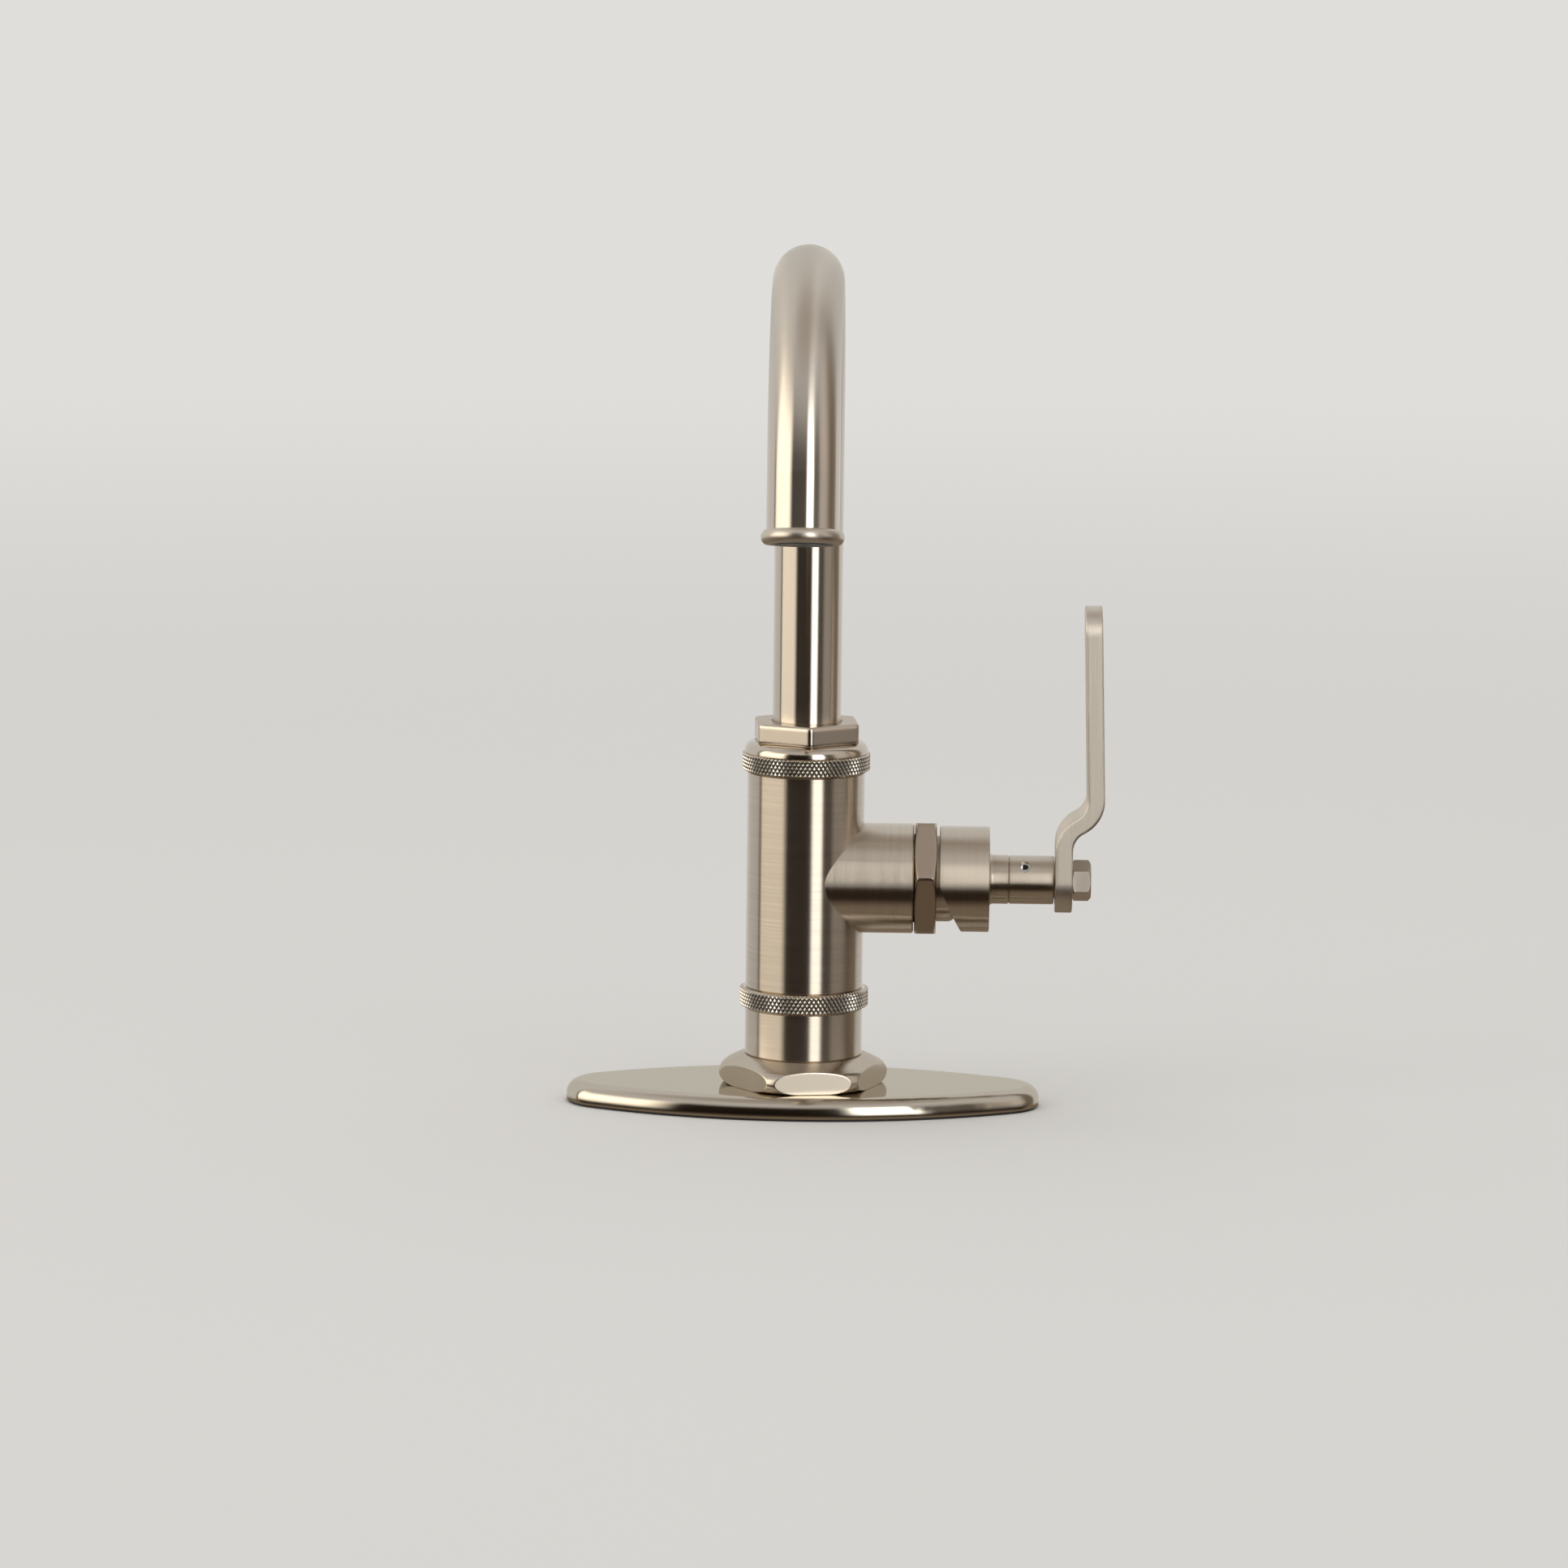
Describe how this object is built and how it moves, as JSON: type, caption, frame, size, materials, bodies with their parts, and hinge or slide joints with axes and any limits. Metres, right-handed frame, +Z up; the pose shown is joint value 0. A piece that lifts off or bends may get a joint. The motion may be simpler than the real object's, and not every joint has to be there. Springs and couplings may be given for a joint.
{
  "type": "gooseneck bar faucet",
  "caption": "Gooseneck bar faucet: swivelling arched spout, valve body with knurled rings, side lever on a mixing cartridge, oval deck plate and hollow mounting shank.",
  "frame": {"origin": "on the axis of the faucet's body, on the deck under the deck gasket", "axes": "+Z up along the body, +X towards the side lever, -Y the way the spout points and the user stands"},
  "size_m": [0.1715, 0.1768, 0.3392],
  "materials": {
    "brushed_nickel": "warm nickel, finely brushed round each turned piece and along the lever",
    "polished_nickel": "polished warm nickel",
    "knurled_nickel": "polished warm nickel with a diamond knurl on the bands",
    "brass": "plain machined brass, threaded where the nut runs",
    "steel": "bright stainless steel",
    "black_rubber": "matte black rubber",
    "white_plastic": "moulded acetal",
    "aerator_grey": "dark blue-grey moulded plastic",
    "ceramic": "lapped white ceramic"
  },
  "bodies": {
    "faucet_body": {"deck_gasket": "black_rubber", "deck_plate": "polished_nickel", "base_hex_flange": "polished_nickel", "body_foot": "brushed_nickel", "lower_knurled_ring": "knurled_nickel", "valve_body": "brushed_nickel", "upper_knurled_ring": "knurled_nickel", "spout_nut": "polished_nickel", "spout_bushing": "white_plastic", "mounting_shank": "brass", "shank_rubber_washer": "black_rubber", "shank_steel_washer": "steel", "mounting_nut": "brass", "cartridge_base": "white_plastic", "cartridge_seals": "black_rubber", "cartridge_housing": "white_plastic", "fixed_ceramic_disc": "ceramic", "cartridge_nut": "brushed_nickel", "bonnet_sleeve": "brushed_nickel"},
    "spout": {"spout_tube": "brushed_nickel", "spout_end_fitting": "brass", "spout_o_rings": "black_rubber", "outlet_ring": "polished_nickel", "aerator_housing": "aerator_grey", "aerator_insert": "aerator_grey", "aerator_screen": "steel", "aerator_washer": "black_rubber"},
    "cartridge_stem": {"cartridge_rotor": "white_plastic", "spindle_pin": "steel"},
    "disc_pack": {"disc_carrier": "white_plastic", "moving_ceramic_disc": "ceramic"},
    "handle": {"lever_spindle": "steel", "handle_cap": "brushed_nickel", "lever_post": "brushed_nickel", "post_set_screw": "steel", "lever": "brushed_nickel", "lever_bolt": "brushed_nickel"}
  },
  "joints": [
    {"name": "spout_swivel", "type": "hinge", "parent": "faucet_body", "child": "spout", "pos_m": [0, 0, 0.12], "axis": [0, 0, 1], "continuous": true},
    {"name": "temperature_turn", "type": "hinge", "parent": "faucet_body", "child": "cartridge_stem", "pos_m": [0.0433, 0, 0.0738], "axis": [1, 0, 0], "range_deg": [-45, 45]},
    {"name": "flow_tilt", "type": "hinge", "parent": "cartridge_stem", "child": "handle", "pos_m": [0.0433, 0, 0.0738], "axis": [0, 1, 0], "range_deg": [0, 22]},
    {"name": "disc_slide", "type": "slide", "parent": "cartridge_stem", "child": "disc_pack", "axis": [0, 0, 1], "range_m": [0, 0.0038]}
  ],
  "couplings": [
    {"joint": "disc_slide", "follows": "flow_tilt", "m_per_rad": 0.009756}
  ]
}
